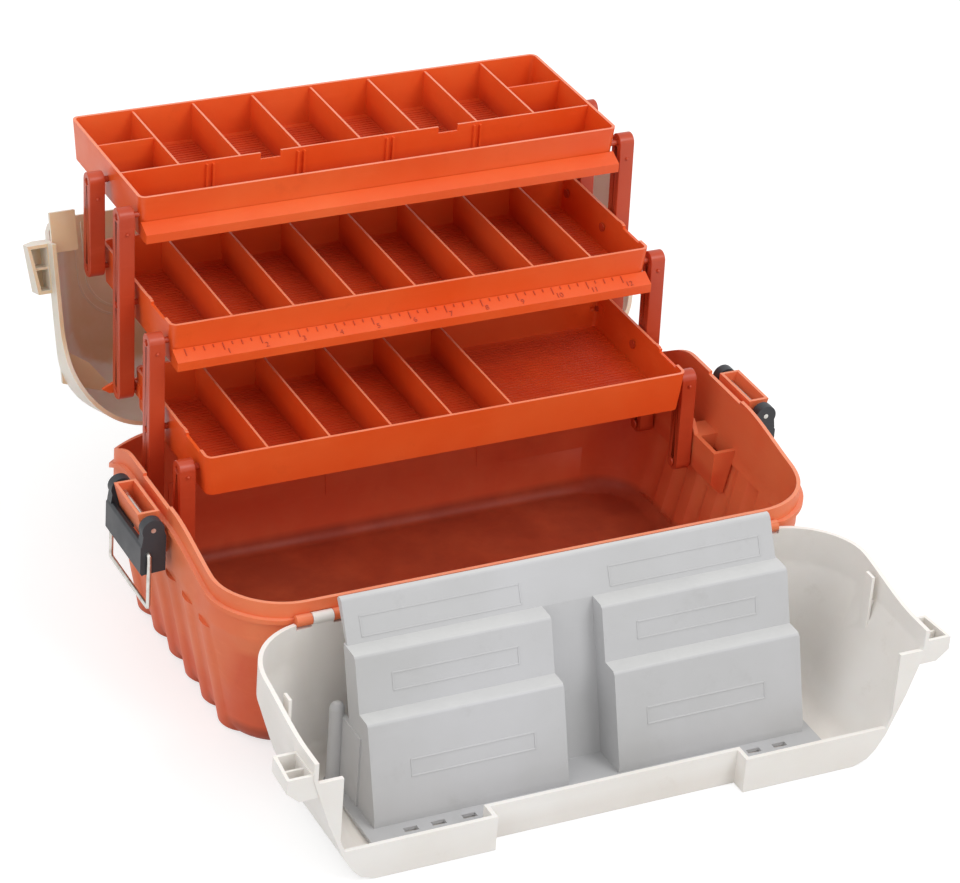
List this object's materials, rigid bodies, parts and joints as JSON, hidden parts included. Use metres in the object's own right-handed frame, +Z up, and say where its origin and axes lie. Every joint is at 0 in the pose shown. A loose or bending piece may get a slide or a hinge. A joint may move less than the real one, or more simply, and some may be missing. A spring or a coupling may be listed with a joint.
{
  "type": "fishing tackle cabinet",
  "caption": "Tackle box with two hinged lids; divided trays rise on parallel arms from a deep base, with a stepped liner in the front lid and a wire-bail latch at each end.",
  "frame": {"origin": "under the middle of the base at ground level, on the mirror plane, below the line where the closed lids meet", "axes": "+X to the right along the box, +Y to the rear, +Z up"},
  "size_m": [0.4408, 0.5237, 0.26],
  "materials": {
    "orange_body": "satin moulded plastic, slightly faded",
    "orange_tray": "smooth moulded plastic",
    "white_lid": "satin moulded plastic, warm white",
    "grey_liner": "fine-textured moulded plastic",
    "black_latch": "satin moulded plastic",
    "steel_wire": "bright drawn wire"
  },
  "bodies": {
    "base": {"base_box": "orange_body", "arm_bracket_left": "orange_body", "arm_bracket_right": "orange_body", "base_pivot_pins": "orange_tray", "front_hinge_pins": "orange_body", "rear_hinge_pins": "orange_body", "latch_pin_left": "steel_wire", "latch_pin_right": "steel_wire"},
    "front_lid": {"front_lid": "white_lid", "front_lid_liner": "grey_liner"},
    "rear_lid": {"rear_lid": "white_lid", "carry_handle_lugs": "white_lid", "carry_handle_pins": "white_lid"},
    "carry_handle": {"carry_handle": "white_lid"},
    "arms_c": {"tray_arm_c_left": "orange_tray", "tray_arm_c_right": "orange_tray"},
    "arms_d": {"tray_arm_d_left": "orange_tray", "tray_arm_d_right": "orange_tray"},
    "arms_b": {"tray_arm_b_left": "orange_tray", "tray_arm_b_right": "orange_tray"},
    "arms_a": {"tray_arm_a_left": "orange_tray", "tray_arm_a_right": "orange_tray"},
    "bottom_tray": {"bottom_tray": "orange_tray", "bottom_tray_pivot_pins": "orange_tray"},
    "middle_tray": {"middle_tray": "orange_tray", "middle_tray_pivot_pins": "orange_tray"},
    "top_tray": {"top_tray": "orange_tray", "top_tray_pivot_pins": "orange_tray"},
    "latch_left": {"latch_lever_left": "black_latch"},
    "latch_right": {"latch_lever_right": "black_latch"},
    "bail_left": {"latch_bail_left": "steel_wire"},
    "bail_right": {"latch_bail_right": "steel_wire"}
  },
  "joints": [
    {"name": "tray_fold", "type": "hinge", "parent": "base", "child": "arms_c", "pos_m": [0, 0.0648, 0.067], "axis": [1, 0, 0], "range_deg": [0, 64.6]},
    {"name": "arms_d_turn", "type": "hinge", "parent": "base", "child": "arms_d", "pos_m": [0, 0.0128, 0.067], "axis": [1, 0, 0], "range_deg": [0, 64.6]},
    {"name": "bottom_tray_turn", "type": "hinge", "parent": "arms_c", "child": "bottom_tray", "pos_m": [0, 0.06794, 0.12692], "axis": [1, 0, 0], "range_deg": [-64.6, 0]},
    {"name": "middle_tray_turn", "type": "hinge", "parent": "arms_c", "child": "middle_tray", "pos_m": [0, 0.07108, 0.18684], "axis": [1, 0, 0], "range_deg": [-64.6, 0]},
    {"name": "arms_b_turn", "type": "hinge", "parent": "bottom_tray", "child": "arms_b", "pos_m": [0, 0.11994, 0.12692], "axis": [1, 0, 0], "range_deg": [0, 64.6]},
    {"name": "top_tray_turn", "type": "hinge", "parent": "arms_b", "child": "top_tray", "pos_m": [0, 0.12622, 0.24675], "axis": [1, 0, 0], "range_deg": [-64.6, 0]},
    {"name": "arms_a_turn", "type": "hinge", "parent": "middle_tray", "child": "arms_a", "pos_m": [0, 0.17508, 0.18684], "axis": [1, 0, 0], "range_deg": [0, 64.6]},
    {"name": "front_lid_hinge", "type": "hinge", "parent": "base", "child": "front_lid", "pos_m": [0, -0.131, 0.1025], "axis": [1, 0, 0], "range_deg": [-180, 0]},
    {"name": "rear_lid_hinge", "type": "hinge", "parent": "base", "child": "rear_lid", "pos_m": [0, 0.118, 0.092], "axis": [1, 0, 0], "range_deg": [0, 108]},
    {"name": "carry_handle_hinge", "type": "hinge", "parent": "rear_lid", "child": "carry_handle", "pos_m": [0, 0.26612, 0.15953], "axis": [1, 0, 0], "range_deg": [-15, 70]},
    {"name": "latch_left_hinge", "type": "hinge", "parent": "base", "child": "latch_left", "pos_m": [-0.2123, 0, 0.115], "axis": [0, -1, 0], "range_deg": [-90, 0]},
    {"name": "latch_right_hinge", "type": "hinge", "parent": "base", "child": "latch_right", "pos_m": [0.2123, 0, 0.115], "axis": [0, 1, 0], "range_deg": [-90, 0]},
    {"name": "bail_left_hinge", "type": "hinge", "parent": "latch_left", "child": "bail_left", "pos_m": [-0.2155, 0, 0.099], "axis": [0, 1, 0], "range_deg": [0, 165]},
    {"name": "bail_right_hinge", "type": "hinge", "parent": "latch_right", "child": "bail_right", "pos_m": [0.2155, 0, 0.099], "axis": [0, -1, 0], "range_deg": [0, 165]}
  ],
  "couplings": [
    {"joint": "arms_d_turn", "follows": "tray_fold", "ratio": 1},
    {"joint": "bottom_tray_turn", "follows": "tray_fold", "ratio": -1},
    {"joint": "middle_tray_turn", "follows": "tray_fold", "ratio": -1},
    {"joint": "arms_b_turn", "follows": "tray_fold", "ratio": 1},
    {"joint": "top_tray_turn", "follows": "tray_fold", "ratio": -1},
    {"joint": "arms_a_turn", "follows": "tray_fold", "ratio": 1},
    {"joint": "front_lid_hinge", "follows": "tray_fold", "ratio": -2.7864},
    {"joint": "rear_lid_hinge", "follows": "tray_fold", "ratio": 1.6718}
  ]
}
